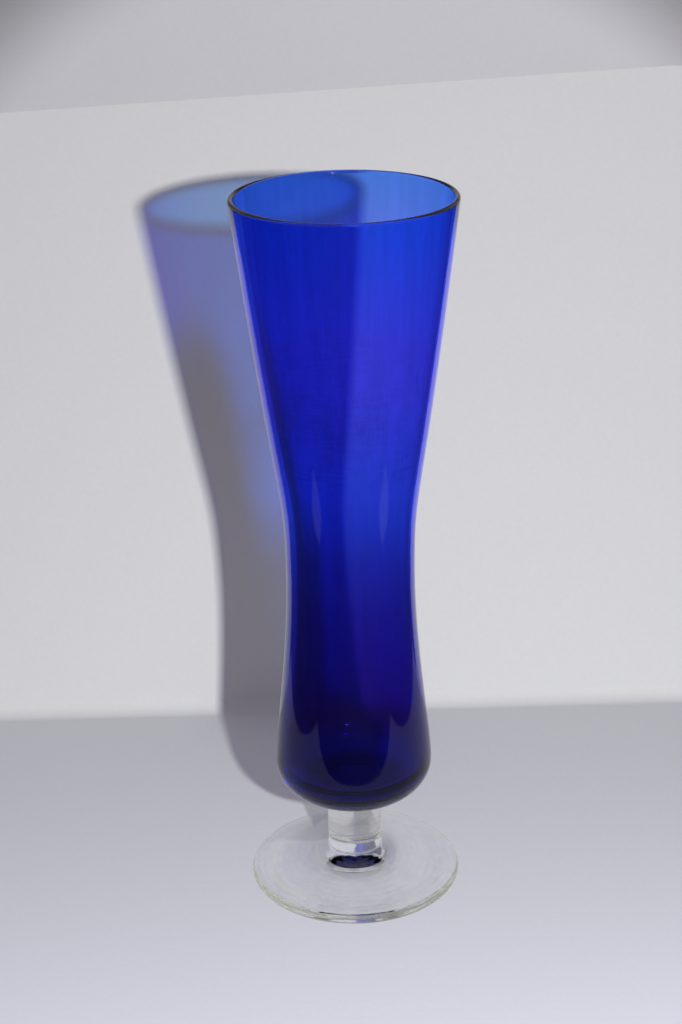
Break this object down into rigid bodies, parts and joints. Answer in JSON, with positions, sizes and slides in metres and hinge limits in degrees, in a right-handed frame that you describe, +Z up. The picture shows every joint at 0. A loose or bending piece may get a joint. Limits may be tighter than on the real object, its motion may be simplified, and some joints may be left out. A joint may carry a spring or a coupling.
{
  "type": "footed vase",
  "caption": "Slender footed flower vase: an hourglass cobalt-blue glass bowl with a flared open mouth, on a short clear stem and a round clear foot.",
  "frame": {"origin": "middle of the flat ring that the foot stands on, at table height", "axes": "+Z up along the axis of the vase, towards the mouth; the vase is turned round that axis, so X and Y are alike"},
  "size_m": [0.0614, 0.0614, 0.205],
  "materials": {
    "cobalt_glass": "fire-polished, deep cobalt blue, see-through",
    "clear_glass": "fire-polished, clear with a very faint grey-yellow cast"
  },
  "bodies": {
    "root": {"bowl": "cobalt_glass", "stem": "clear_glass", "foot": "clear_glass"}
  },
  "joints": []
}
